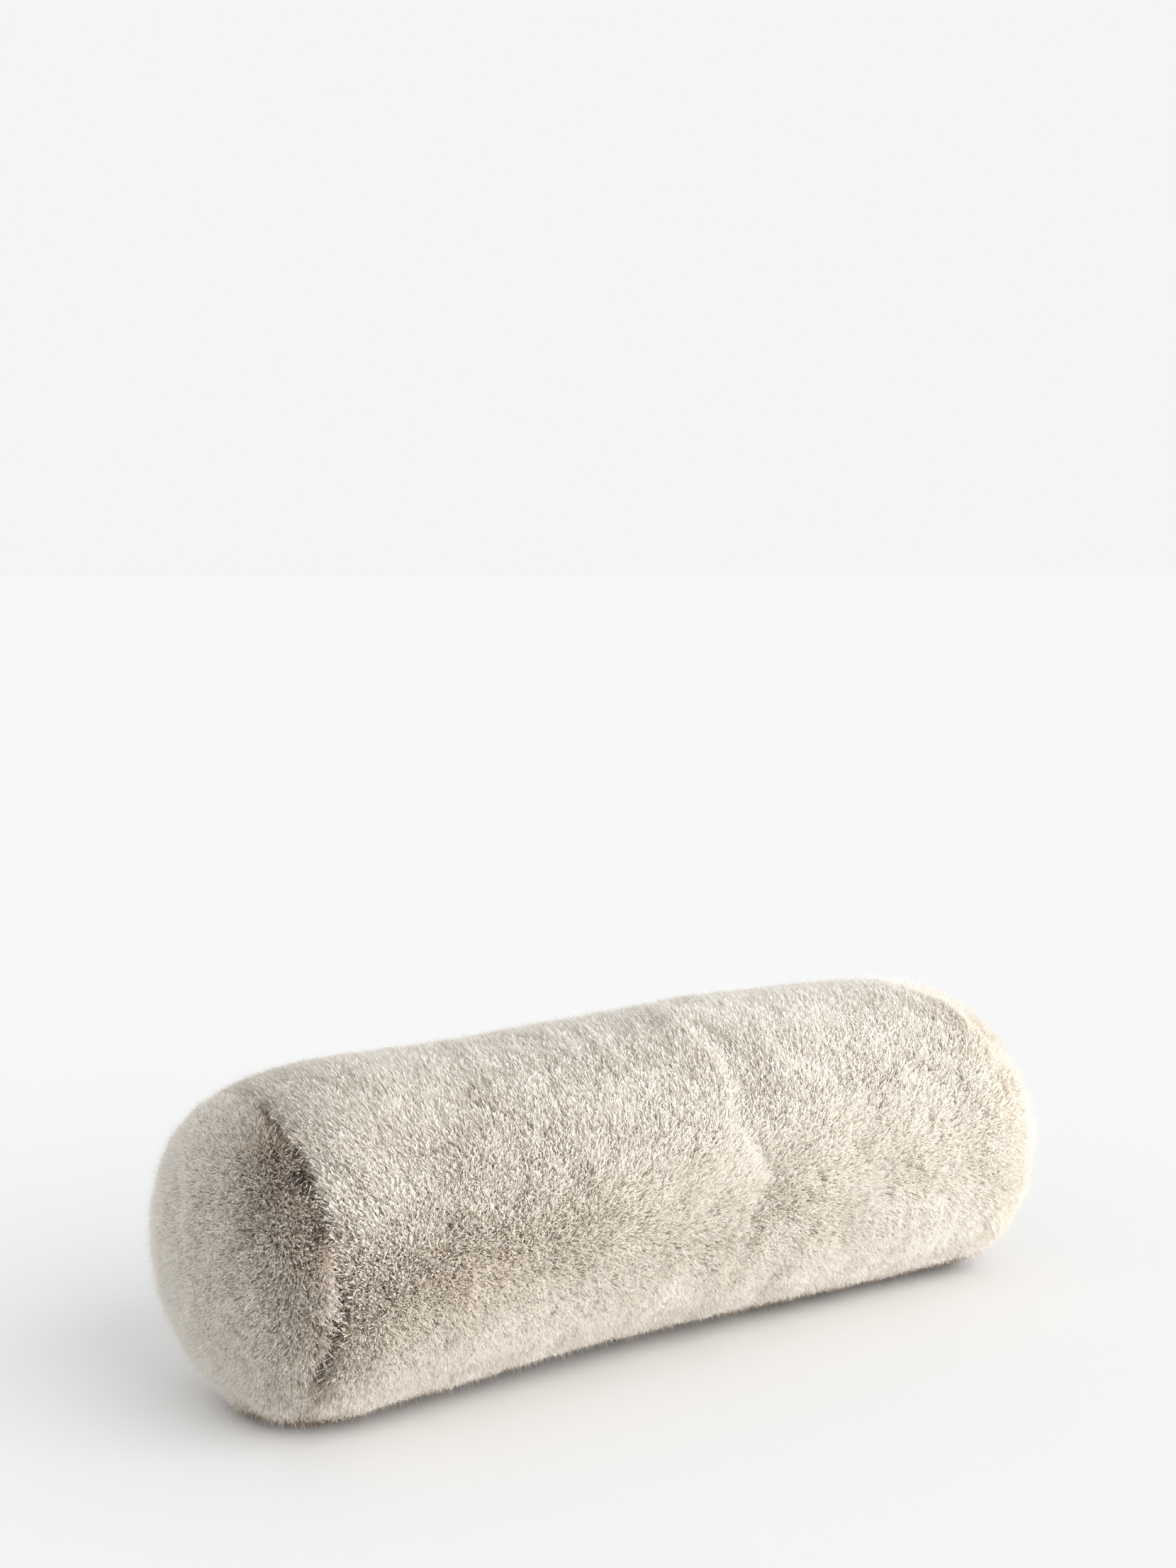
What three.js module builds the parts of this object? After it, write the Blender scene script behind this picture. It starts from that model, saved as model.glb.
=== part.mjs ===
// A round bolster cushion in faux fur, lying on its side, in millimetres with +Z up.
//
// +X runs along the roll and z = 0 is the surface that it lies on. A wrap panel makes the tube, and a disc
// closes each end. The filling rounds the tube over towards its two seams and domes the discs, and each seam
// draws the pile in. The solids reach as far as the tips of the pile do.

import * as THREE from "three";

// Driving dimensions.
const LENGTH = 572; // tip to tip, over both domed ends
const PILE_RADIUS = 100; // of the roll before it slumps, to the tips of the pile
const SEAM_X = 248.5; // from the middle to each end seam
const SHOULDER_X = 207; // where the roll starts to round over towards its end
const SLUMP = 0.047; // the section is this share wider and lower than a circle
const FLAT_DEPTH = 5; // how much of the section is lost to the flat spot underneath
const BOW = 6; // how far the middle of the roll sits behind its ends, in +Y
const BOW_REACH = 75;
const BOW_CENTRE = 2.73; // moves the roll in -Y, so that its footprint is centred on the origin
const PANEL_THICKNESS = 14; // an end panel at its middle, backing and pile
const RIM_THICKNESS = 9; // an end panel at its seam
const SEAM_GAP = 0.3; // between the filled roll and each end panel

// The end of the roll is a superellipse: blunter than a circle, so that the discs stay nearly flat.
const END_POWER_ALONG = 2.56;
const END_POWER_ACROSS = 2.22;

// The groove that each seam pulls into the pile.
const GROOVE_DEPTH = 8.5;
const GROOVE_REACH = 6.5;

// Where the filling is slack or full, and the soft creases of the wrap panel, a row for each. angle is in
// degrees from the top of the roll towards -Y, along (mm) and around (degrees) are half widths, lean is how
// far the row shifts in +X per degree, and height is how far it raises the pile.
const RELIEF = [
  { x: -75, angle: 180, along: 70, around: 42, lean: 0, height: -4.2 }, // slack underside
  { x: 45, angle: 180, along: 60, around: 42, lean: 0, height: -2.0 }, // and its far half
  { x: -110, angle: 0, along: 50, around: 45, lean: 0, height: -2.6 }, // long dip along the top
  { x: 82, angle: 0, along: 48, around: 45, lean: 0, height: 2.8 }, // full top beyond the middle
  { x: -236, angle: 0, along: 26, around: 55, lean: 0, height: -5.0 }, // near shoulder droops
  { x: 238, angle: 0, along: 26, around: 55, lean: 0, height: -3.8 }, // far shoulder droops
  { x: 34, angle: 50, along: 12, around: 34, lean: -0.15, height: -2.8 }, // main trough down the front
  { x: 11, angle: 44, along: 13, around: 30, lean: -0.7, height: 1.2 }, // swell beside it
  { x: 76, angle: 98, along: 11, around: 24, lean: 0, height: 1.6 }, // upright swell low on the front
  { x: 104, angle: 88, along: 14, around: 26, lean: 0.1, height: -1.5 }, // hollow to its right
  { x: -128, angle: 112, along: 34, around: 20, lean: 0, height: -1.8 }, // hollow low near the end
  { x: -20, angle: -95, along: 26, around: 32, lean: 0.3, height: -2.4 }, // slack on the back
  { x: -250, angle: 168, along: 22, around: 34, lean: 0, height: 6.5 }, // near end sags onto its rest
  { x: 250, angle: 136, along: 20, around: 30, lean: 0, height: 5.0 }, // far end is full low down
];

// How finely the solids are divided.
const SIDES = 40;
const MIDDLE_ROWS = 30;
const SHOULDER_ROWS = 6;
const GROOVE_ROWS = 4;
const DOME_ROWS = 6;

const CLOTH = { color: 0xd9cfc2, roughness: 0.95, metalness: 0 };

const END_LENGTH = LENGTH / 2 - SHOULDER_X;
const GROOVE_X = SEAM_X - 2 * GROOVE_REACH; // where the wrap starts to dip into its seam
const CENTRE_Z = PILE_RADIUS * (1 - SLUMP) - FLAT_DEPTH;
const LAST_ANGLE = Math.PI * (1 - 1 / SIDES); // of a ring's end points where it has no flat spot
const FLAT_SEARCH_STEPS = 40;

/** The roll's radius to the tips of the pile at x, with the groove of the nearer seam. */
function profileRadius(x) {
  const share = THREE.MathUtils.clamp((Math.abs(x) - SHOULDER_X) / END_LENGTH, 0, 1);
  const rounded = PILE_RADIUS * (1 - share ** END_POWER_ALONG) ** (1 / END_POWER_ACROSS);
  const groove = GROOVE_DEPTH * Math.exp(-(((Math.abs(x) - SEAM_X) / GROOVE_REACH) ** 2));
  return Math.max(rounded - groove, 0);
}

/** How far the relief raises the pile at x and an angle in radians from the top. */
function reliefHeight(x, angle) {
  let height = 0;
  for (const row of RELIEF) {
    const turned = THREE.MathUtils.radToDeg(angle) - row.angle;
    const nearest = turned - 360 * Math.round(turned / 360);
    const across = (x - row.x - row.lean * nearest) / row.along;
    height += row.height * Math.exp(-0.5 * (across ** 2 + (nearest / row.around) ** 2));
  }
  return height;
}

/** The reach of the pile from the roll's axis, less where the end closes, so that the tip stays a point. */
function pileReach({ x, radius, smooth }, angle) {
  const share = Math.min(radius / PILE_RADIUS, 1);
  return smooth ? radius : radius + reliefHeight(x, angle) * share;
}

/** The angle at which a row of the profile meets the surface that the roll lies on, on one side. */
function flatEdge(row, side) {
  const height = (angle) => CENTRE_Z + pileReach(row, side * angle) * (1 - SLUMP) * Math.cos(angle);
  if (height(LAST_ANGLE) >= 0) return LAST_ANGLE;
  let above = Math.PI / 2;
  let below = LAST_ANGLE;
  for (let step = 0; step < FLAT_SEARCH_STEPS; step++) {
    const middle = (above + below) / 2;
    if (height(middle) > 0) above = middle;
    else below = middle;
  }
  return below;
}

/** One ring of points on a row of the profile, from one edge of the flat spot over the top to the other. */
function ring(row) {
  const bow = BOW * Math.exp(-0.5 * (row.x / BOW_REACH) ** 2) - BOW_CENTRE;
  const back = flatEdge(row, -1);
  const front = flatEdge(row, 1);
  const points = [];
  for (let side = 0; side < SIDES; side++) {
    const angle = THREE.MathUtils.lerp(-back, front, side / (SIDES - 1));
    const reach = pileReach(row, angle);
    const z = CENTRE_Z + reach * (1 - SLUMP) * Math.cos(angle);
    const rests = (side === 0 && back < LAST_ANGLE) || (side === SIDES - 1 && front < LAST_ANGLE);
    points.push([row.x, bow - reach * (1 + SLUMP) * Math.sin(angle), rests ? 0 : z]);
  }
  return points;
}

/** A closed solid through the rows of a profile, whose first and last row are points on the axis. */
function turned(profile) {
  const vertices = profile.slice(1, -1).flatMap(ring);
  const faces = [];
  const ringCount = profile.length - 2;
  const axisY = -BOW_CENTRE;
  const start = vertices.push([profile[0].x, axisY, CENTRE_Z]) - 1;
  const end = vertices.push([profile[profile.length - 1].x, axisY, CENTRE_Z]) - 1;
  for (let side = 0; side < SIDES; side++) {
    const next = (side + 1) % SIDES;
    faces.push([start, next, side]);
    for (let row = 0; row < ringCount - 1; row++) {
      const near = row * SIDES;
      const far = near + SIDES;
      faces.push([near + side, near + next, far + next], [near + side, far + next, far + side]);
    }
    const last = (ringCount - 1) * SIDES;
    faces.push([end, last + side, last + next]);
  }
  const geometry = new THREE.BufferGeometry();
  geometry.setAttribute("position", new THREE.Float32BufferAttribute(vertices.flat(), 3));
  geometry.setIndex(faces.flat());
  geometry.computeVertexNormals();
  return geometry;
}

/** Rows of the pile's surface from one x to another, both included. */
function pileRows(from, to, steps) {
  return Array.from({ length: steps + 1 }, (_, step) => {
    const x = THREE.MathUtils.lerp(from, to, step / steps);
    return { x, radius: profileRadius(x) };
  });
}

/** The filling's dome behind an end panel, from the seam to the tip, moved outwards by a gap. */
function domeRows(gap) {
  const base = profileRadius(SEAM_X) - RIM_THICKNESS + gap;
  const rise = LENGTH / 2 - PANEL_THICKNESS - SEAM_X;
  return Array.from({ length: DOME_ROWS + 1 }, (_, step) => {
    const turn = ((Math.PI / 2) * step) / DOME_ROWS;
    return { x: SEAM_X + gap + rise * Math.sin(turn), radius: base * Math.cos(turn), smooth: true };
  });
}

/** The outer face of an end panel, from its tip back to the seam, with rows closer where it turns. */
function panelRows() {
  const rise = LENGTH / 2 - SEAM_X - SEAM_GAP;
  const steps = DOME_ROWS + GROOVE_ROWS;
  return Array.from({ length: steps + 1 }, (_, step) => {
    const x = LENGTH / 2 - rise * (1 - Math.cos(((Math.PI / 2) * step) / steps));
    return { x, radius: profileRadius(x) };
  });
}

/** The same profile at the other end of the roll. */
function mirrored(profile) {
  return profile.map((row) => ({ ...row, x: -row.x })).reverse();
}

/** The wrap panel and the filling in it: one filled solid. */
function filledRoll() {
  const half = [
    ...pileRows(SHOULDER_X, GROOVE_X, SHOULDER_ROWS).slice(1),
    ...pileRows(GROOVE_X, SEAM_X, GROOVE_ROWS).slice(1),
    ...domeRows(0),
  ];
  const middle = pileRows(-SHOULDER_X, SHOULDER_X, MIDDLE_ROWS);
  return turned([...mirrored(half), ...middle, ...half]);
}

/** An end panel at +X: a domed disc of backing and pile whose hollow side fits the filling's dome. */
function endPanel() {
  return [...domeRows(SEAM_GAP).reverse(), ...panelRows().reverse()];
}

function named(name, geometry) {
  const mesh = new THREE.Mesh(geometry, new THREE.MeshStandardMaterial(CLOTH));
  mesh.name = name;
  return mesh;
}

const group = new THREE.Group();
group.add(named("filled_roll", filledRoll()));
group.add(named("end_panel_near", turned(mirrored(endPanel()))));
group.add(named("end_panel_far", turned(endPanel())));

export default group;
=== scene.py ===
"""The looks of a faux-fur bolster cushion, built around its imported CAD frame.

Metres, +Z up. The roll lies along X on the floor at z = 0, and its front is the -Y side. The backing cloth is
one closed skin, set in from the tips of the pile, puffed by a cloth simulation and parted at its two end
seams. The pile is blades rooted on that skin, brushed by short tables and gathered into tufts.
"""

import itertools
import math

import bpy
import numpy as np
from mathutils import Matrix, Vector


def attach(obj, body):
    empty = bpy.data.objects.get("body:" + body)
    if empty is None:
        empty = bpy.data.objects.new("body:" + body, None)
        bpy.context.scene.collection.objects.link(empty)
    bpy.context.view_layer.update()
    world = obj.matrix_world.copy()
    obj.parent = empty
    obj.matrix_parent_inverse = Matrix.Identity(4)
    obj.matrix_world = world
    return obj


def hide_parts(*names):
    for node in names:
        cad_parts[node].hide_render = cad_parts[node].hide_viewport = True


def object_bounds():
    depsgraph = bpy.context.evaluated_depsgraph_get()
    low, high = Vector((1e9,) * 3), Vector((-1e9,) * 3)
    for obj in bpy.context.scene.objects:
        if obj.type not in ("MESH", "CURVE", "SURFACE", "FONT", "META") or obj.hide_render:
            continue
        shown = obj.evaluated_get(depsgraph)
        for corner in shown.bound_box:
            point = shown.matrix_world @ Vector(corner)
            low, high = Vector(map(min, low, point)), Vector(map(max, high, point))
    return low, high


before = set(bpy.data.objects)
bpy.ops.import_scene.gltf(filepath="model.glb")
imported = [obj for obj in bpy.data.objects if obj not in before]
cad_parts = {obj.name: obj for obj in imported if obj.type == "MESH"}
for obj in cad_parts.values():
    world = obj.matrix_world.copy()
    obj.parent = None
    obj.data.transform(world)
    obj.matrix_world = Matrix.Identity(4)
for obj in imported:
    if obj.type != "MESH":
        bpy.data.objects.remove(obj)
cad_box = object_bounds()

ROLL = "filled_roll"
NEAR_PANEL = "end_panel_near"
FAR_PANEL = "end_panel_far"
BODY = "root"

# The roll out to the tips of its pile, with the driving dimensions of its CAD source.
HALF_LENGTH = (cad_box[1].x - cad_box[0].x) / 2
PILE_RADIUS = 0.100
SEAM_X = 0.2485
SHOULDER_X = 0.207
SLUMP = 0.047  # the section is this share wider and lower than a circle
FLAT_DEPTH = 0.005
CENTRE_Z = PILE_RADIUS * (1 - SLUMP) - FLAT_DEPTH
BOW = 0.006
BOW_REACH = 0.075
BOW_CENTRE = 0.00273
END_POWER_ALONG = 2.56
END_POWER_ACROSS = 2.22

# Where the filling is slack or full, and the soft creases of the wrap. Angles are in degrees from the top
# towards the front, along and around are half widths, lean moves a row in +X per degree.
RELIEF = [
    {"x": -0.075, "angle": 180, "along": 0.070, "around": 42, "lean": 0, "height": -0.0042},
    {"x": 0.045, "angle": 180, "along": 0.060, "around": 42, "lean": 0, "height": -0.0020},
    {"x": -0.110, "angle": 0, "along": 0.050, "around": 45, "lean": 0, "height": -0.0026},
    {"x": 0.082, "angle": 0, "along": 0.048, "around": 45, "lean": 0, "height": 0.0028},
    {"x": -0.236, "angle": 0, "along": 0.026, "around": 55, "lean": 0, "height": -0.0050},
    {"x": 0.238, "angle": 0, "along": 0.026, "around": 55, "lean": 0, "height": -0.0038},
    {"x": 0.034, "angle": 50, "along": 0.012, "around": 34, "lean": -0.00015, "height": -0.0028},
    {"x": 0.011, "angle": 44, "along": 0.013, "around": 30, "lean": -0.0007, "height": 0.0012},
    {"x": 0.076, "angle": 98, "along": 0.011, "around": 24, "lean": 0, "height": 0.0016},
    {"x": 0.104, "angle": 88, "along": 0.014, "around": 26, "lean": 0.0001, "height": -0.0015},
    {"x": -0.128, "angle": 112, "along": 0.034, "around": 20, "lean": 0, "height": -0.0018},
    {"x": -0.020, "angle": -95, "along": 0.026, "around": 32, "lean": 0.0003, "height": -0.0024},
    {"x": -0.250, "angle": 168, "along": 0.022, "around": 34, "lean": 0, "height": 0.0035},
    {"x": 0.250, "angle": 136, "along": 0.020, "around": 30, "lean": 0, "height": 0.0050},
]

# The backing cloth under the pile.
PILE_DEPTH = 0.011  # from the skin to the outline
WRAP_STANDS = 1.10  # the tips thin out past the outline, so the pile stands taller than it
PANEL_STANDS = 1.24
SEAM_DEPTH = 0.0085  # how far each seam draws the skin in
SEAM_REACH = 0.0037
SEAM_LEAST_DRAWN = 0.1  # of that depth, where the pile has grown over it
SEAM_SHORTER = 0.5  # how much shorter the pile is at a seam
COLUMNS = 132  # of the skin's grid, around the roll
RING_STEP = 0.0048  # between its rings, along the profile
SEAM_RINGS = 2.0  # how much closer the rings are at a seam
SEAM_RINGS_REACH = 0.010
PROFILE_STEPS = 4000  # in which the profile is measured for that
FAR_PARTING = 0.12  # of the near seam's parting: the pile has grown over the far seam

# How far the pile parts over the near seam, around the roll: from 0, grown over, to 1, open.
SEAM_PARTING = [
    {"angle": -180, "open": 0.0},
    {"angle": -120, "open": 0.5},
    {"angle": -90, "open": 0.6},
    {"angle": -30, "open": 0.1},
    {"angle": 2, "open": 0.0},
    {"angle": 14, "open": 0.8},
    {"angle": 24, "open": 1.0},
    {"angle": 52, "open": 0.9},
    {"angle": 66, "open": 0.35},
    {"angle": 88, "open": 0.3},
    {"angle": 98, "open": 0.8},
    {"angle": 126, "open": 1.0},
    {"angle": 142, "open": 0.1},
    {"angle": 180, "open": 0.0},
]

# The cloth simulation that puffs the skin.
CLOTH_PRESSURE = 4
CLOTH_FRAMES = 20
CLOTH_CAP = 0.0025  # the most that a point may move
SEAM_PIN_REACH = 0.002
LEAST_PIN = 0.05  # a ring that would be held less than this is free
KEPT_WAVES = 3  # the first waves around the roll, its girth, its place and its slump, stay as they were

# The way the wrap's pile is brushed: its lean towards the near end, and around the roll in the sense that
# climbs the front and goes on over the top. Towards the near seam it stops leaning with the cloth's turn, by
# the share called upright. Angles are as in the relief.
NAP = [
    {"angle": -180, "near": 0.40, "climb": 0.25, "upright": 0.5},
    {"angle": -90, "near": 0.50, "climb": 0.30, "upright": 0.5},
    {"angle": 0, "near": 0.56, "climb": 0.34, "upright": 1.0},
    {"angle": 55, "near": 0.58, "climb": 0.30, "upright": 1.0},
    {"angle": 80, "near": 0.37, "climb": 0.35, "upright": 0.6},
    {"angle": 100, "near": 0.31, "climb": 0.26, "upright": 0.5},
    {"angle": 120, "near": 0.41, "climb": 0.27, "upright": 0.5},
    {"angle": 150, "near": 0.38, "climb": 0.32, "upright": 0.5},
    {"angle": 180, "near": 0.40, "climb": 0.25, "upright": 0.5},
]

# Strokes of a hand or of use that turned the wrap's pile, added to the table above.
STROKES = [
    {"x": -0.190, "angle": 98, "along": 0.060, "around": 22, "lean": -0.003, "near": 0.01, "climb": 0.02},
    {"x": 0.015, "angle": 80, "along": 0.016, "around": 20, "lean": 0, "near": -0.04, "climb": 0.15},
    {"x": -0.025, "angle": 86, "along": 0.070, "around": 26, "lean": 0, "near": -0.39, "climb": 0.06},
    {"x": 0.108, "angle": 104, "along": 0.014, "around": 22, "lean": 0, "near": -0.20, "climb": 0.0},
    {"x": 0.150, "angle": 78, "along": 0.085, "around": 38, "lean": 0, "near": -0.34, "climb": 0.0},
]
UPRIGHT_FROM = 0.185  # the distance from the middle at which the pile starts to stand up
UPRIGHT_REACH = 0.045

# How the lean wanders from place to place: by how much, over what distance, and the noise's seed.
NEAR_WANDERS = [
    {"by": 0.12, "over": 0.026, "seed": 11},
    {"by": 0.10, "over": 0.011, "seed": 12},
]
CLIMB_WANDERS = [
    {"by": 0.12, "over": 0.024, "seed": 13},
    {"by": 0.10, "over": 0.010, "seed": 14},
]
LEAST_RISE = 0.3  # the least square of a blade's share along the normal that it leans from
LEAST_HEIGHT = 0.62  # a blade is longer the more it leans, until its tip stands this high for its length

# How the end panels' pile leans beside the cloth's normal: towards the front and upwards, with the strokes
# that turned the near one's.
PANEL_FRONT = 0.40
PANEL_UP = -0.05
FAR_PANEL_OUT = 0.4  # how the far panel's leans away from its middle, over the seam
PANEL_STROKES = [
    {"x": -0.255, "angle": 50, "along": 0.013, "around": 28, "lean": 0, "front": 0.55, "up": 0.10},
    {"x": -0.255, "angle": 140, "along": 0.014, "around": 26, "lean": 0, "front": 0.30, "up": 0.25},
    {"x": -0.2485, "angle": 84, "along": 0.0035, "around": 15, "lean": 0, "front": -0.80, "up": -0.70},
]

# Where the pile lies open, so that its lower, browner part shows, by what share of its height. The same share
# darkens its blades with painted shade.
WRAP_OPEN_AND_SHADED = [
    {"x": -0.190, "angle": 98, "along": 0.050, "around": 16, "lean": -0.003, "share": 0.14},
    {"x": -0.205, "angle": 45, "along": 0.060, "around": 40, "lean": 0, "share": 0.09},
    {"x": -0.080, "angle": 138, "along": 0.130, "around": 18, "lean": 0, "share": 0.15},
    {"x": 0.010, "angle": 84, "along": 0.100, "around": 10, "lean": -0.003, "share": 0.05},
    # Painted shade: the wrap's pile at the far end, which the lamps light most, is darkened.
    {"x": 0.255, "angle": 0, "along": 0.018, "around": 400, "lean": 0, "share": 0.38},
]
PANEL_OPEN_AND_SHADED = [
    # The near panel's dark patch beside the top of its seam: the pile lies open there, and painted shade
    # stands for the shade under the wrap's edge.
    {"x": -0.251, "angle": 48, "along": 0.009, "around": 23, "lean": 0, "share": 0.90},
    {"x": -0.252, "angle": 118, "along": 0.008, "around": 24, "lean": 0, "share": 0.20},
    # Painted shade: the far panel's pile, which the lamps light most, is darkened.
    {"x": 0.255, "angle": 0, "along": 0.020, "around": 400, "lean": 0, "share": 0.22},
]
PRESSED_OPEN_AND_SHADED = 0.85  # where the pile lies low by the floor: browner roots and painted contact shade
OPEN_PAINTED_SHADE = 0.57  # how much painted shade darkens a blade where the pile lies fully open, at a seam or by the floor
PRESSED_SHADE_FROM = 0.013  # the height of a tip under which the pile by the floor starts to get that painted contact shade
PRESSED_SHADE_REACH = 0.008
SEAM_OPEN_AND_SHADED = 0.8  # where the pile parts over a seam: browner roots, and painted shade in the crease
MOST_OPEN_AND_SHADED = 0.92
OPEN_AND_SHADED_WANDERS = [{"by": 0.45, "over": 0.012, "seed": 31}]

# The pile's pieces over the wrap: the first of the skin's columns that each covers, how many it covers, and
# how many blades it has. The columns go around the roll from its lowest line and up the back, and those of
# the underside go on past the last one to the first.
WRAP_PILE = [
    {"name": "pile_back", "first": 18, "columns": 24, "blades": 170000},
    {"name": "pile_top_back", "first": 42, "columns": 24, "blades": 170000},
    {"name": "pile_top_front", "first": 66, "columns": 24, "blades": 170000},
    {"name": "pile_front", "first": 90, "columns": 24, "blades": 170000},
    {"name": "pile_underside", "first": 114, "columns": 36, "blades": 100000},
]
PANEL_BLADES = 84000

BLADE_WIDTH = 0.00055
BLADE_WIDTHS = (0.7, 1.3)  # the least and the most, beside that
BLADE_LENGTHS = (0.84, 1.04)  # the least and the most, beside the pile's depth
LENGTH_WANDERS = [{"by": 0.05, "over": 0.014, "seed": 15}]
BLADE_TWIST = 0.22  # radians
# The undercoat, the pile itself and the guard hairs: their shares of the blades, their height and width
# beside the pile's, and how much their lean differs from one blade to the next.
COATS = [
    {"share": 0.42, "height": 0.84, "width": 1.25, "spread": 0.24},
    {"share": 0.50, "height": 1.00, "width": 1.00, "spread": 0.14},
    {"share": 0.08, "height": 1.28, "width": 0.65, "spread": 0.20},
]
# The tufts of the pile: their size, the share of the way that each draws its tips together, and how far their
# shades differ.
FINE_TUFT = 0.0026
FINE_PULL = 0.31
FINE_SEED = 21
COARSE_TUFT = 0.0070
COARSE_PULL = 0.25
COARSE_SEED = 22
TUFT_SHADES = 0.12
TUFT_LENGTHS = (0.94, 0.12)  # the shortest coarse tuft, beside the pile, and how much longer the longest is

BLADE_SHADES = 0.06
MIDDLE_SHADE = 0.5
SHADE_WANDERS = [{"by": 0.10, "over": 0.022, "seed": 23}]
SHADES = 64  # that a blade may have, each a strip of the blades' map named OFBake
STRIP_CORNERS = (0.1, 0.9, 0.5)  # of a blade across its strip
STRIP_MARGIN = 0.02
FLOOR_GAP = 0.0003  # the least height of a tip over the floor
MOST_FLOOR_GAPS = 6

# Seeds: those of a piece's roots and of its blades, which count up from piece to piece, first over the wrap
# and then, from further up, over the end panels.
ROOTS_SEED = 100
BLADES_SEED = 200
PANELS_UP = 10

NOISE_CELLS = 64
CORNERS = list(itertools.product((0, 1), repeat=3))
NEIGHBOURS = list(itertools.product((-1, 0, 1), repeat=3))


# Numbers.


def lattice_noise(points, size, seed):
    """Smooth noise from -1 to 1 at each point, with features of about the given size."""
    table = np.random.default_rng(seed).uniform(-1, 1, (NOISE_CELLS,) * 3)
    scaled = points / size
    low = np.floor(scaled).astype(int)
    share = scaled - low
    share = share * share * (3 - 2 * share)
    total = np.zeros(len(points))
    for corner in CORNERS:
        weight = np.prod(np.where(corner, share, 1 - share), axis=1)
        cell = (low + corner) % NOISE_CELLS
        total += weight * table[cell[:, 0], cell[:, 1], cell[:, 2]]
    return total


def nearest_centres(points, size, seed):
    """The nearest of a jittered lattice's centres to each point, and a number from 0 to 1 of its own."""
    random = np.random.default_rng(seed)
    jitter = random.uniform(0.1, 0.9, (NOISE_CELLS,) * 3 + (3,))
    own = random.random((NOISE_CELLS,) * 3)
    scaled = points / size
    low = np.floor(scaled).astype(int)
    nearest = np.full(len(points), np.inf)
    centres = np.zeros_like(points)
    numbers = np.zeros(len(points))
    for neighbour in NEIGHBOURS:
        cell = low + neighbour
        i, j, k = (cell % NOISE_CELLS).T
        candidate = cell + jitter[i, j, k]
        distance = ((candidate - scaled) ** 2).sum(axis=1)
        nearer = distance < nearest
        nearest[nearer] = distance[nearer]
        centres[nearer] = candidate[nearer]
        numbers[nearer] = own[i, j, k][nearer]
    return centres * size, numbers


def unit(vectors):
    return vectors / np.maximum(np.linalg.norm(vectors, axis=-1, keepdims=True), 1e-12)


def along_normal(vectors, normals):
    return (vectors * normals).sum(axis=-1, keepdims=True)


def flat_to(vectors, normals):
    """The part of each vector that lies in the surface."""
    return vectors - along_normal(vectors, normals) * normals


# The skin.


def between(rows, column, degrees):
    """One column of a table of angles, interpolated at each angle."""
    return np.interp(degrees, [row["angle"] for row in rows], [row[column] for row in rows])


def added_up(rows, column, x, degrees):
    """The sum of one column of the relief or of the strokes at x and an angle in degrees from the top."""
    total = np.zeros(np.broadcast(x, degrees).shape)
    for row in rows:
        turned = degrees - row["angle"]
        nearest = turned - 360 * np.round(turned / 360)
        across = (x - row["x"] - row["lean"] * nearest) / row["along"]
        total += row[column] * np.exp(-0.5 * (across**2 + (nearest / row["around"]) ** 2))
    return total


def profile_share(x):
    """The radius of the pile's own profile at x, as a share of its full one."""
    along = np.clip((np.abs(x) - SHOULDER_X) / (HALF_LENGTH - SHOULDER_X), 0, 1)
    return (1 - along**END_POWER_ALONG) ** (1 / END_POWER_ACROSS)


def nearness_to_seam(x):
    """From 1 at a seam to 0 well away from it."""
    return np.exp(-(((np.abs(x) - SEAM_X) / SEAM_REACH) ** 2))


def parted(x, degrees):
    """How far the pile parts at x, from 0 to 1."""
    end = np.where(x > 0, FAR_PARTING, 1)
    return end * nearness_to_seam(x) * between(SEAM_PARTING, "open", degrees)


def ring_places():
    """The x of the skin's rings on the pile's own profile, evenly spaced but closer near the seams."""
    turn = np.linspace(0, math.pi / 2, PROFILE_STEPS)
    rounded = SHOULDER_X + (HALF_LENGTH - SHOULDER_X) * np.sin(turn) ** (2 / END_POWER_ALONG)
    x = np.concatenate([[0], rounded])
    radius = PILE_RADIUS * profile_share(x)
    crowding = 1 + SEAM_RINGS * np.exp(-(((x[1:] - SEAM_X) / SEAM_RINGS_REACH) ** 2))
    travelled = np.concatenate([[0], np.cumsum(np.hypot(np.diff(x), np.diff(radius)) * crowding)])
    steps = round(travelled[-1] / RING_STEP)
    half = np.interp(np.linspace(0, travelled[-1], steps + 1), travelled, x)
    return np.concatenate([-half[:0:-1], half])


def skin_grid(seam_depth):
    """The skin's points, ring by ring, with each ring's x on the pile's own profile."""
    ring_x = ring_places()
    degrees = np.arange(COLUMNS) * 360 / COLUMNS - 180
    angle = np.radians(degrees)
    beyond = np.maximum(np.abs(ring_x) - SHOULDER_X, 0)
    inset = (HALF_LENGTH - SHOULDER_X - PILE_DEPTH) / (HALF_LENGTH - SHOULDER_X)
    x = np.sign(ring_x) * (np.minimum(np.abs(ring_x), SHOULDER_X) + beyond * inset)
    held_in = SEAM_LEAST_DRAWN * nearness_to_seam(ring_x)[:, None]
    drawn_in = seam_depth * (held_in + (1 - SEAM_LEAST_DRAWN) * parted(ring_x[:, None], degrees))
    relief = added_up(RELIEF, "height", ring_x[:, None], degrees)
    reach = ((PILE_RADIUS - PILE_DEPTH) + relief) * profile_share(ring_x)[:, None]
    reach = np.maximum(reach - drawn_in, 0)
    bow = BOW * np.exp(-0.5 * (ring_x / BOW_REACH) ** 2) - BOW_CENTRE
    points = np.empty((len(x), COLUMNS, 3))
    points[..., 0] = x[:, None]
    points[..., 1] = bow[:, None] - reach * (1 + SLUMP) * np.sin(angle)
    points[..., 2] = CENTRE_Z + reach * (1 - SLUMP) * np.cos(angle)
    return points, ring_x


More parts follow.
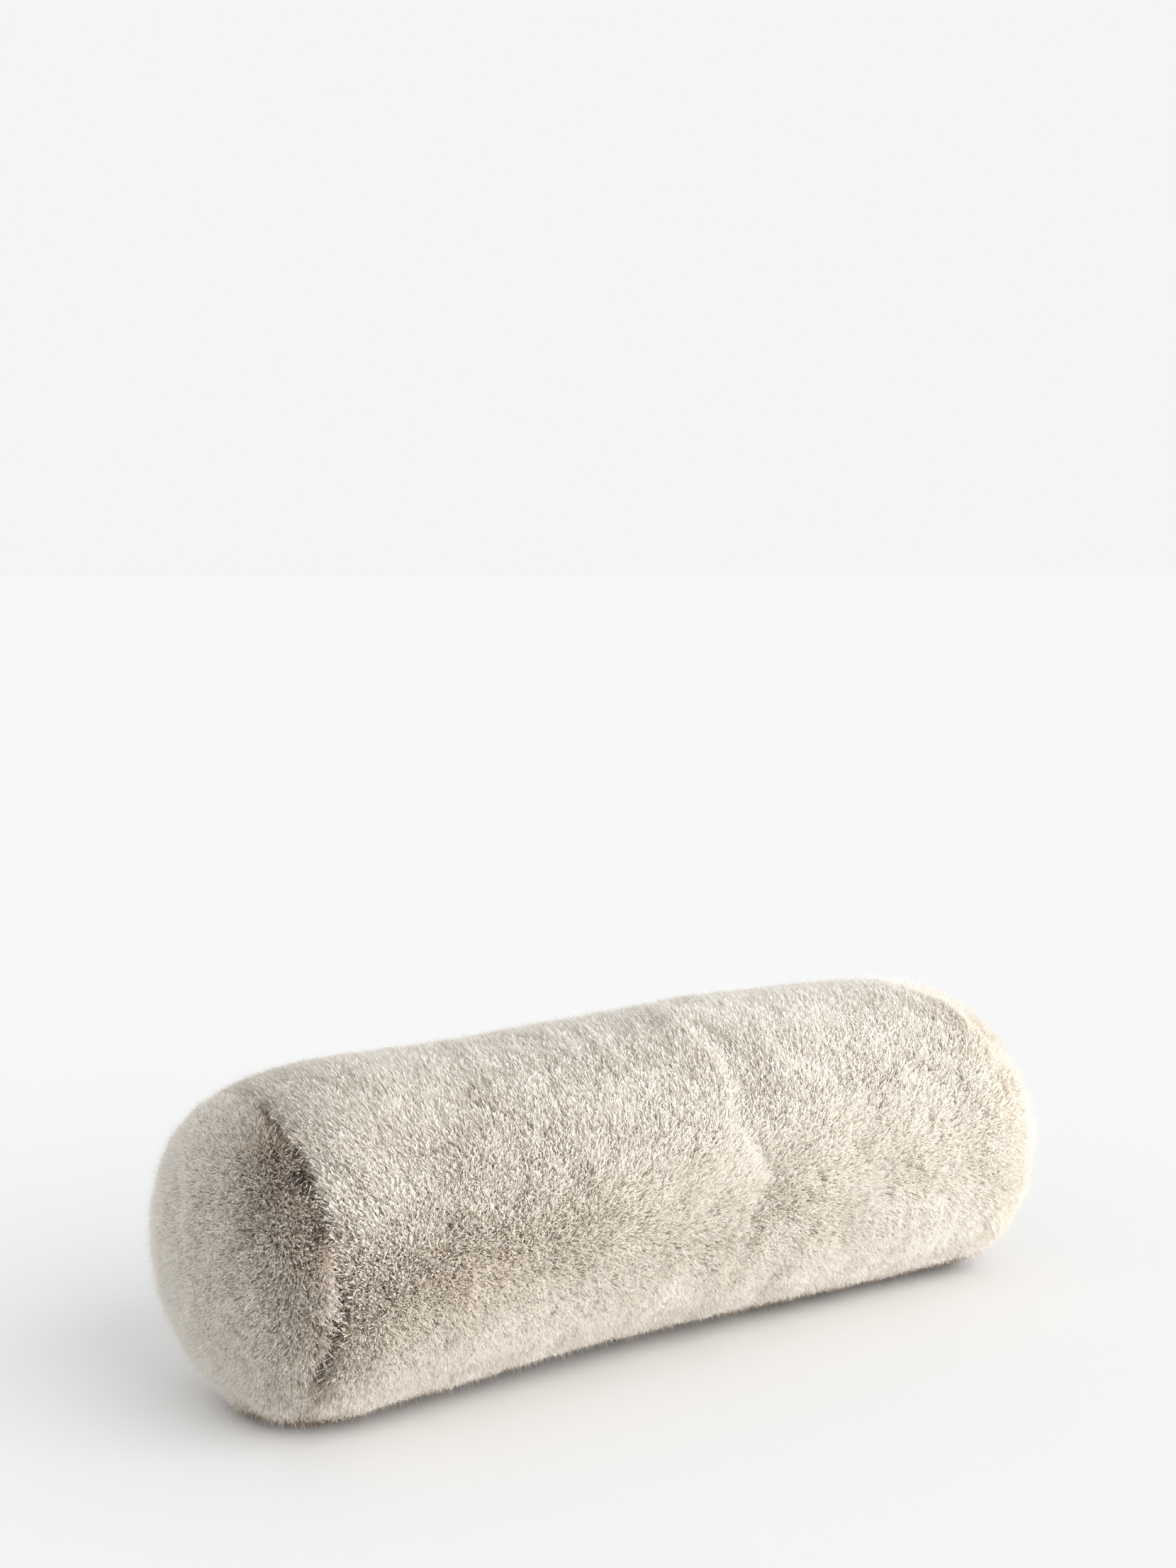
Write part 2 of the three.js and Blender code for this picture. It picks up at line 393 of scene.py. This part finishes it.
def grid_faces(rings):
    """Quads between rings of points that are numbered ring by ring, facing out."""
    ring, column = np.meshgrid(np.arange(rings - 1), np.arange(COLUMNS), indexing="ij")
    after = (column + 1) % COLUMNS
    corners = (ring * COLUMNS + column, ring * COLUMNS + after,
               (ring + 1) * COLUMNS + after, (ring + 1) * COLUMNS + column)
    return np.stack(corners, axis=-1).reshape(-1, 4)


def grid_normals(points):
    """Outward unit normals of a grid of rings."""
    around = np.roll(points, -1, axis=1) - np.roll(points, 1, axis=1)
    along = np.gradient(points, axis=0)
    normals = unit(np.cross(around, along))
    normals[0], normals[-1] = (-1, 0, 0), (1, 0, 0)
    return normals


def new_mesh_object(name, points, faces):
    """An object in the scene with a mesh of its own."""
    mesh = bpy.data.meshes.new(name)
    mesh.from_pydata(points.reshape(-1, 3).tolist(), [], [list(map(int, face)) for face in faces])
    mesh.update()
    made = bpy.data.objects.new(name, mesh)
    bpy.context.scene.collection.objects.link(made)
    return made


def puffed(points, ring_x):
    """The skin's grid after a cloth simulation under pressure, with its seams held and its moves capped."""
    rings = len(points)
    closed = points[1:-1]
    tips = np.array([points[0].mean(axis=0), points[-1].mean(axis=0)])
    vertices = np.concatenate([closed.reshape(-1, 3), tips])
    faces = grid_faces(rings - 2).tolist()
    near_tip, far_tip = len(vertices) - 2, len(vertices) - 1
    last = (rings - 3) * COLUMNS
    for column in range(COLUMNS):
        after = (column + 1) % COLUMNS
        faces.append([near_tip, after, column])
        faces.append([far_tip, last + column, last + after])
    skin = new_mesh_object("skin_simulated", vertices, faces)

    held = skin.vertex_groups.new(name="held")
    pull = np.exp(-(((np.abs(ring_x[1:-1]) - SEAM_X) / SEAM_PIN_REACH) ** 2))
    for ring, weight in enumerate(pull):
        if weight > LEAST_PIN:
            held.add(list(range(ring * COLUMNS, (ring + 1) * COLUMNS)), float(weight), "REPLACE")

    cloth = skin.modifiers.new("cloth", "CLOTH")
    settings = cloth.settings
    settings.quality = 6
    settings.mass = 0.3
    settings.tension_stiffness = settings.compression_stiffness = 12
    settings.shear_stiffness = 6
    settings.bending_stiffness = 0.4
    settings.shrink_min = -0.03
    settings.vertex_group_mass = "held"
    settings.use_pressure = True
    settings.uniform_pressure_force = CLOTH_PRESSURE
    settings.effector_weights.gravity = 0
    cloth.collision_settings.use_collision = False
    cloth.point_cache.frame_start = 1
    cloth.point_cache.frame_end = CLOTH_FRAMES
    scene = bpy.context.scene
    for number in range(1, CLOTH_FRAMES + 1):
        scene.frame_set(number)
    evaluated = skin.evaluated_get(bpy.context.evaluated_depsgraph_get())
    moved = np.empty(len(vertices) * 3)
    evaluated.data.vertices.foreach_get("co", moved)
    moved = moved.reshape(-1, 3)[: closed.shape[0] * COLUMNS].reshape(closed.shape)
    bpy.data.objects.remove(skin)
    scene.frame_set(1)

    normals = grid_normals(points)[1:-1]
    waves = np.fft.rfft(along_normal(moved - closed, normals)[..., 0], axis=1)
    waves[:, :KEPT_WAVES] = 0
    rise = np.clip(np.fft.irfft(waves, COLUMNS, axis=1), -CLOTH_CAP, CLOTH_CAP)
    settled = points.copy()
    settled[1:-1] += rise[..., None] * normals
    return settled


def skin_piece(name, points, node):
    """One closed piece of the skin, with a flat face where its first or last ring is open."""
    faces = grid_faces(len(points)).tolist()
    last = (len(points) - 1) * COLUMNS
    faces.append(list(range(COLUMNS))[::-1])
    faces.append(list(range(last, last + COLUMNS)))
    made = new_mesh_object(name, points, faces)
    made.data.materials.append(backing_material())
    for polygon in made.data.polygons:
        polygon.use_smooth = len(polygon.vertices) < COLUMNS
    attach(made, BODY)
    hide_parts(node)
    return made


# The pile.


def scattered(points, smooth_normals, ring_x, rings, columns, count, random):
    """Roots spread evenly by area over some rings and columns of the skin's grid."""
    ring, column = np.meshgrid(rings, columns, indexing="ij")
    ring, column = ring.ravel(), column.ravel()
    after = (column + 1) % COLUMNS
    corners = [(ring, column), (ring, after), (ring + 1, after), (ring + 1, column)]
    a, b, c, d = (points[corner] for corner in corners)
    area = np.linalg.norm(np.cross(c - a, d - b), axis=1) / 2
    chosen = random.choice(len(area), count, p=area / area.sum())
    across, up = random.random((2, count, 1))
    weights = ((1 - across) * (1 - up), across * (1 - up), across * up, (1 - across) * up)

    def blended(values):
        return sum(weight * values[corner][chosen] for weight, corner in zip(weights, corners))

    along = np.roll(points, -1, axis=0) - points
    along[-1] = along[-2]
    root = blended(points)
    smooth = unit(blended(smooth_normals))
    degrees = (column[chosen] + across[:, 0]) * 360 / COLUMNS - 180
    towards_far = unit(flat_to(blended(along), smooth))
    x = (1 - up[:, 0]) * ring_x[ring[chosen]] + up[:, 0] * ring_x[ring[chosen] + 1]
    return {"root": root, "smooth": smooth, "degrees": degrees, "far": towards_far, "x": x}


def wrap_lean(roots):
    """How the wrap's pile leans at each root: the cloth's normal that it leans from, and its two leans."""
    x, degrees = roots["x"], roots["degrees"]
    near = between(NAP, "near", degrees) + added_up(STROKES, "near", x, degrees)
    climb = between(NAP, "climb", degrees) + added_up(STROKES, "climb", x, degrees)
    turn = np.radians(degrees)
    radial = np.stack([np.zeros(len(x)), -np.sin(turn), np.cos(turn)], axis=1)
    upright = between(NAP, "upright", degrees) * np.clip((-x - UPRIGHT_FROM) / UPRIGHT_REACH, 0, 1)
    stance = unit(roots["smooth"] + upright[:, None] * (radial - roots["smooth"]))
    return stance, near, climb


def panel_lean(roots):
    """How an end panel's pile leans at each root, in the same terms."""
    x, degrees = roots["x"], roots["degrees"]
    front = PANEL_FRONT + added_up(PANEL_STROKES, "front", x, degrees)
    up = PANEL_UP + added_up(PANEL_STROKES, "up", x, degrees)
    none = np.zeros(len(x))
    stance = unit(roots["smooth"] + np.stack([none, -front, up], axis=1))
    return stance, np.where(roots["x"] > 0, FAR_PANEL_OUT, 0), none


def wandering(value, rows, root):
    """A value with the noise of each row added to it."""
    for row in rows:
        value = value + row["by"] * lattice_noise(root, row["over"], row["seed"])
    return value


def brushed(roots, on_wrap, coat, random):
    """Each blade's direction and length, before its tuft gathers it, and the way that its face turns."""
    root = roots["root"]
    count = len(root)
    stance, near, climb = wrap_lean(roots) if on_wrap else panel_lean(roots)
    far_way = unit(flat_to(roots["far"], stance))
    climb_way = np.cross(stance, far_way)
    near = wandering(near, NEAR_WANDERS, root) + coat["spread"] * random.standard_normal(count)
    climb = wandering(climb, CLIMB_WANDERS, root) + coat["spread"] * random.standard_normal(count)
    rise = np.sqrt(np.maximum(1 - near**2 - climb**2, LEAST_RISE))
    way = unit(rise[:, None] * stance - near[:, None] * far_way + climb[:, None] * climb_way)
    facing = stance if on_wrap else roots["smooth"]
    height = np.clip(along_normal(way, roots["smooth"])[:, 0], LEAST_HEIGHT, 1)
    shorter = SEAM_SHORTER * parted(roots["x"], roots["degrees"])
    depth = PILE_DEPTH * (WRAP_STANDS if on_wrap else PANEL_STANDS) * (1 - shorter)
    length = wandering(1, LENGTH_WANDERS, root) * (depth / height)
    return way, length * random.uniform(*BLADE_LENGTHS, count) * coat["height"], facing


def open_and_shaded_share(roots, on_wrap, pressed_and_shaded):
    """How far the pile lies open at each root, or lies low by the floor, as a share of its height; the same
    share gives its blades painted shade.
    """
    x, degrees = roots["x"], roots["degrees"]
    open_and_shaded = added_up(WRAP_OPEN_AND_SHADED if on_wrap else PANEL_OPEN_AND_SHADED, "share", x, degrees)
    open_and_shaded = open_and_shaded * wandering(1, OPEN_AND_SHADED_WANDERS, roots["root"])
    open_and_shaded = open_and_shaded + SEAM_OPEN_AND_SHADED * parted(x, degrees) + PRESSED_OPEN_AND_SHADED * pressed_and_shaded
    return np.clip(open_and_shaded, 0, MOST_OPEN_AND_SHADED)


def blade_mesh(name, points, shade, along):
    """A mesh of three-cornered blades, with each one's shade and how far along it each of its corners is."""
    count = len(shade)
    mesh = bpy.data.meshes.new(name)
    mesh.vertices.add(count * 3)
    mesh.vertices.foreach_set("co", points.ravel())
    mesh.loops.add(count * 3)
    mesh.loops.foreach_set("vertex_index", np.arange(count * 3))
    mesh.polygons.add(count)
    mesh.polygons.foreach_set("loop_start", np.arange(count) * 3)
    mesh.polygons.foreach_set("use_smooth", np.ones(count, bool))
    mesh.update(calc_edges=True)
    tone_layer = mesh.attributes.new("tone_and_shade", "FLOAT", "POINT")
    tone_layer.data.foreach_set("value", np.repeat((shade + 0.5) / SHADES, 3))
    along_layer = mesh.attributes.new("along", "FLOAT", "POINT")
    along_layer.data.foreach_set("value", along.ravel().astype(float))
    palette = mesh.uv_layers.new(name="OFBake")
    u = (shade[:, None] + np.array(STRIP_CORNERS)) / SHADES
    v = STRIP_MARGIN + (1 - 2 * STRIP_MARGIN) * along
    palette.data.foreach_set("uv", np.stack([u, v], axis=-1).ravel())
    return mesh


def blades(name, roots, on_wrap, seed):
    """One piece of the pile: blades that stand on their roots, each with its shade and its tuft."""
    random = np.random.default_rng(seed)
    root, normal = roots["root"], roots["smooth"]
    count = len(root)
    kind = random.choice(len(COATS), count, p=[row["share"] for row in COATS])
    coat = {key: np.array([row[key] for row in COATS])[kind] for key in ("height", "width", "spread")}
    short = kind == 0
    way, length, facing = brushed(roots, on_wrap, coat, random)
    fine, fine_number = nearest_centres(root, FINE_TUFT, FINE_SEED)
    coarse, coarse_number = nearest_centres(root, COARSE_TUFT, COARSE_SEED)
    shortest, longer = TUFT_LENGTHS
    length = length * (shortest + longer * coarse_number)
    tip = root + length[:, None] * way
    tip = tip + FINE_PULL * flat_to(fine - root, normal) + COARSE_PULL * flat_to(coarse - root, normal)
    # Blades whose tips lie low by the floor get browner roots and painted contact shade.
    pressed_and_shaded = np.clip((PRESSED_SHADE_FROM - tip[:, 2]) / PRESSED_SHADE_REACH, 0, 1)
    open_and_shaded = open_and_shaded_share(roots, on_wrap, pressed_and_shaded)
    tip[:, 2] = np.maximum(tip[:, 2], FLOOR_GAP * random.uniform(1, MOST_FLOOR_GAPS, count))
    way = unit(tip - root)

    side = unit(np.cross(way, facing))
    twist = random.normal(0, BLADE_TWIST, count)[:, None]
    side = unit(np.cos(twist) * side + np.sin(twist) * np.cross(way, side))
    width = BLADE_WIDTH * random.uniform(*BLADE_WIDTHS, count) * coat["width"]
    half = side * (width / 2)[:, None]

    wide, point = np.where(short[:, None], (tip, root), (root, tip))
    half = np.where(short[:, None], -half, half)
    points = np.stack([wide - half, wide + half, point], axis=1).reshape(-1, 3)
    top = np.minimum(coat["height"], 1) * (1 - open_and_shaded)
    along = np.where(short[:, None], (1, 1, 0), (0, 0, 1)) * top[:, None]
    tone_and_shade = MIDDLE_SHADE + TUFT_SHADES * (coarse_number - 0.5) + TUFT_SHADES * (fine_number - 0.5)
    tone_and_shade = wandering(tone_and_shade + BLADE_SHADES * random.standard_normal(count), SHADE_WANDERS, root)
    # Painted shade: blades are darker where the pile lies open, at the seams and by the floor.
    tone_and_shade = tone_and_shade - OPEN_PAINTED_SHADE * open_and_shaded
    shade = np.clip((tone_and_shade * SHADES).astype(int), 0, SHADES - 1)

    made = bpy.data.objects.new(name, blade_mesh(name, points, shade, along))
    bpy.context.scene.collection.objects.link(made)
    made.data.materials.append(pile_material())
    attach(made, BODY)
    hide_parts(ROLL if on_wrap else (NEAR_PANEL if root[0, 0] < 0 else FAR_PANEL))
    return made


# Materials.

# The sockets of a Mix node, which has several of each name.
MIX_FACTOR = 0
MIX_FIRST_COLOUR = 6
MIX_SECOND_COLOUR = 7
MIX_COLOUR = 2


def new_material(name):
    """An empty material with its nodes, its links and a Principled shader."""
    material = bpy.data.materials.new(name)
    material.use_nodes = True
    nodes, links = material.node_tree.nodes, material.node_tree.links
    return material, nodes, links, nodes["Principled BSDF"]


def attribute(nodes, name):
    """A node that reads one of the mesh's attributes."""
    node = nodes.new("ShaderNodeAttribute")
    node.attribute_name = name
    return node


def ramp(nodes, links, source, stops):
    """A colour ramp over a value, with a stop for each row."""
    node = nodes.new("ShaderNodeValToRGB")
    elements = node.color_ramp.elements
    while len(elements) < len(stops):
        elements.new(0.5)
    for element, stop in zip(elements, stops):
        element.position = stop["at"]
        element.color = (*stop["colour"], 1)
    links.new(source, node.inputs["Fac"])
    return node.outputs["Color"]


def shared_with_translucent(nodes, links, shader, colour, share):
    """The shader and a Translucent one of the same colour, as threads are that let light through."""
    through = nodes.new("ShaderNodeBsdfTranslucent")
    links.new(colour, through.inputs["Color"])
    both = nodes.new("ShaderNodeMixShader")
    both.inputs["Fac"].default_value = share
    links.new(shader.outputs["BSDF"], both.inputs[1])
    links.new(through.outputs["BSDF"], both.inputs[2])
    links.new(both.outputs["Shader"], nodes["Material Output"].inputs["Surface"])


def multiplied(nodes, links, first, second):
    """The product of two colours."""
    node = nodes.new("ShaderNodeMix")
    node.data_type = "RGBA"
    node.blend_type = "MULTIPLY"
    node.inputs[MIX_FACTOR].default_value = 1
    links.new(first, node.inputs[MIX_FIRST_COLOUR])
    links.new(second, node.inputs[MIX_SECOND_COLOUR])
    return node.outputs[MIX_COLOUR]


# The pile's colour from the roots to the tips, and what each blade's shade multiplies it by. The shades' dark
# end is painted shade, reached where the pile lies open, at the seams and by the floor.
PILE_ALONG = [
    {"at": 0.0, "colour": (0.82, 0.725, 0.63)},
    {"at": 0.45, "colour": (0.885, 0.843, 0.780)},
    {"at": 0.72, "colour": (0.902, 0.880, 0.836)},
    {"at": 1.0, "colour": (0.930, 0.923, 0.893)},
]
PILE_TONES_AND_SHADE = [
    {"at": 0.0, "colour": (0.30, 0.25, 0.21)},
    {"at": 0.18, "colour": (0.88, 0.855, 0.83)},
    {"at": 0.5, "colour": (0.98, 0.975, 0.97)},
    {"at": 1.0, "colour": (1.0, 1.0, 1.0)},
]


def pile_material():
    """Faux fur: pale at the tips and browner towards the roots, with a shade for each blade that also holds
    painted shade.
    """
    if "pile" in bpy.data.materials:
        return bpy.data.materials["pile"]
    material, nodes, links, shader = new_material("pile")
    along = ramp(nodes, links, attribute(nodes, "along").outputs["Fac"], PILE_ALONG)
    tones_and_shade = ramp(nodes, links, attribute(nodes, "tone_and_shade").outputs["Fac"], PILE_TONES_AND_SHADE)
    colour = multiplied(nodes, links, along, tones_and_shade)
    links.new(colour, shader.inputs["Base Color"])
    shared_with_translucent(nodes, links, shader, colour, 0.5)
    shader.inputs["Roughness"].default_value = 0.8
    shader.inputs["Specular IOR Level"].default_value = 0.15
    shader.inputs["Sheen Weight"].default_value = 0.15
    shader.inputs["Sheen Roughness"].default_value = 0.5
    return material


def backing_material():
    """The backing cloth that shows between the roots, brown grey and knitted."""
    if "backing" in bpy.data.materials:
        return bpy.data.materials["backing"]
    material, nodes, links, shader = new_material("backing")
    place = nodes.new("ShaderNodeTexCoord").outputs["Object"]
    noise = nodes.new("ShaderNodeTexNoise")
    noise.inputs["Scale"].default_value = 220
    noise.inputs["Detail"].default_value = 4
    links.new(place, noise.inputs["Vector"])
    stops = [
        {"at": 0.3, "colour": (0.54, 0.46, 0.38)},
        {"at": 0.7, "colour": (0.68, 0.60, 0.51)},
    ]
    links.new(ramp(nodes, links, noise.outputs["Fac"], stops), shader.inputs["Base Color"])
    bump = nodes.new("ShaderNodeBump")
    bump.inputs["Distance"].default_value = 0.001
    links.new(noise.outputs["Fac"], bump.inputs["Height"])
    links.new(bump.outputs["Normal"], shader.inputs["Normal"])
    shader.inputs["Roughness"].default_value = 0.9
    return material


# The stage.

CAMERA_PLACE = (-0.7851, -1.0275, 0.4476)
CAMERA_AZIMUTH = 36.55
CAMERA_ELEVATION = 5.5
LENS = 50.89

BACKGROUND = 0.913  # what the camera sees behind everything

# The studio's light from all round, which is weaker from above, and its lamps. A way to a lamp is from the
# roll.
AROUND = 1.3
ZENITH = 0.56
ZENITH_FROM = 0.3  # sines of elevation
ZENITH_TO = 0.8
SUN_TO = (0.30, -0.85, 0.48)
SUN_STRENGTH = 1.3
SUN_SPREAD = 60
KEY_PLACE = (0.80, -1.15, 0.16)
KEY_SIZE = 1.0
KEY_POWER = 39
FLOOR_COLOUR = (0.942, 0.947, 0.952)


def add_camera():
    """A camera that looks at the cushion from the front, near its near end and a little above it."""
    azimuth, elevation = math.radians(CAMERA_AZIMUTH), math.radians(CAMERA_ELEVATION)
    back = Vector((-math.sin(azimuth) * math.cos(elevation), -math.cos(azimuth) * math.cos(elevation),
                   math.sin(elevation)))
    data = bpy.data.cameras.new("camera")
    data.sensor_fit = "AUTO"
    data.sensor_width = 36
    data.lens = LENS
    data.clip_end = 400
    made = bpy.data.objects.new("camera", data)
    made.location = CAMERA_PLACE
    made.rotation_euler = (-back).to_track_quat("-Z", "Y").to_euler()
    bpy.context.scene.collection.objects.link(made)
    bpy.context.scene.camera = made


def add_floor():
    """A wide plain floor."""
    size = 150
    corners = np.array([(-size, -size, 0), (size, -size, 0), (size, size, 0), (-size, size, 0)], float)
    made = new_mesh_object("floor", corners, np.array([[0, 1, 2, 3]]))
    material, _, _, shader = new_material("floor_paper")
    shader.inputs["Base Color"].default_value = (*FLOOR_COLOUR, 1)
    shader.inputs["Roughness"].default_value = 1
    shader.inputs["Specular IOR Level"].default_value = 0
    made.data.materials.append(material)
    return made


def add_world():
    """The studio's light from all round, behind which the camera sees a plain background."""
    world = bpy.data.worlds.new("studio")
    bpy.context.scene.world = world
    world.use_nodes = True
    nodes, links = world.node_tree.nodes, world.node_tree.links
    parts = nodes.new("ShaderNodeSeparateXYZ")
    links.new(nodes.new("ShaderNodeTexCoord").outputs["Generated"], parts.inputs["Vector"])
    fade = nodes.new("ShaderNodeMapRange")
    fade.inputs["From Min"].default_value = ZENITH_FROM
    fade.inputs["From Max"].default_value = ZENITH_TO
    fade.inputs["To Min"].default_value = AROUND
    fade.inputs["To Max"].default_value = ZENITH
    links.new(parts.outputs["Z"], fade.inputs["Value"])
    seen = nodes.new("ShaderNodeMix")
    links.new(nodes.new("ShaderNodeLightPath").outputs["Is Camera Ray"], seen.inputs["Factor"])
    links.new(fade.outputs["Result"], seen.inputs["A"])
    seen.inputs["B"].default_value = BACKGROUND
    nodes["Background"].inputs["Color"].default_value = (1, 1, 1, 1)
    links.new(seen.outputs["Result"], nodes["Background"].inputs["Strength"])


def aimed_lamp(name, kind, way):
    """A lamp whose light comes from some way."""
    made = bpy.data.objects.new(name, bpy.data.lights.new(name, kind))
    made.rotation_euler = Vector(way).to_track_quat("Z", "Y").to_euler()
    bpy.context.scene.collection.objects.link(made)
    return made


def add_lamps(floor):
    """A wide soft sun, and a key lamp near the far end that lights the cushion but not the floor."""
    sun = aimed_lamp("sun", "SUN", SUN_TO)
    sun.data.angle = math.radians(SUN_SPREAD)
    sun.data.energy = SUN_STRENGTH
    key = aimed_lamp("key", "AREA", KEY_PLACE)
    key.location = KEY_PLACE
    key.data.size = KEY_SIZE
    key.data.energy = KEY_POWER
    key.visible_camera = False
    passed_over = bpy.data.collections.new("not_lit_by_key")
    passed_over.objects.link(floor)
    key.light_linking.receiver_collection = passed_over
    passed_over.collection_objects[0].light_linking.link_state = "EXCLUDE"


def build_cushion():
    """The skin in three closed pieces, and the pile that stands on it in seven."""
    smooth_normals = grid_normals(skin_grid(0)[0])
    points, ring_x = skin_grid(SEAM_DEPTH)
    points = puffed(points, ring_x)
    near_seam = int(np.argmin(np.abs(ring_x + SEAM_X)))
    far_seam = int(np.argmin(np.abs(ring_x - SEAM_X)))
    last = len(ring_x) - 1
    skin_piece("backing_wrap", points[near_seam : far_seam + 1], ROLL)
    skin_piece("backing_near", points[1 : near_seam + 1], NEAR_PANEL)
    skin_piece("backing_far", points[far_seam:last], FAR_PANEL)
    wrap_rings = np.arange(near_seam, far_seam)
    for number, row in enumerate(WRAP_PILE):
        random = np.random.default_rng(ROOTS_SEED + number)
        columns = np.arange(row["first"], row["first"] + row["columns"]) % COLUMNS
        roots = scattered(points, smooth_normals, ring_x, wrap_rings, columns, row["blades"], random)
        blades(row["name"], roots, True, BLADES_SEED + number)
    everywhere = np.arange(COLUMNS)
    panel_rings = {"pile_near": np.arange(0, near_seam), "pile_far": np.arange(far_seam, last)}
    for number, (name, rings) in enumerate(panel_rings.items(), PANELS_UP):
        random = np.random.default_rng(ROOTS_SEED + number)
        roots = scattered(points, smooth_normals, ring_x, rings, everywhere, PANEL_BLADES, random)
        blades(name, roots, False, BLADES_SEED + number)


add_camera()
add_world()
add_lamps(add_floor())
bpy.context.scene.view_settings.view_transform = "Standard"
bpy.context.scene.cycles.diffuse_bounces = 8
build_cushion()
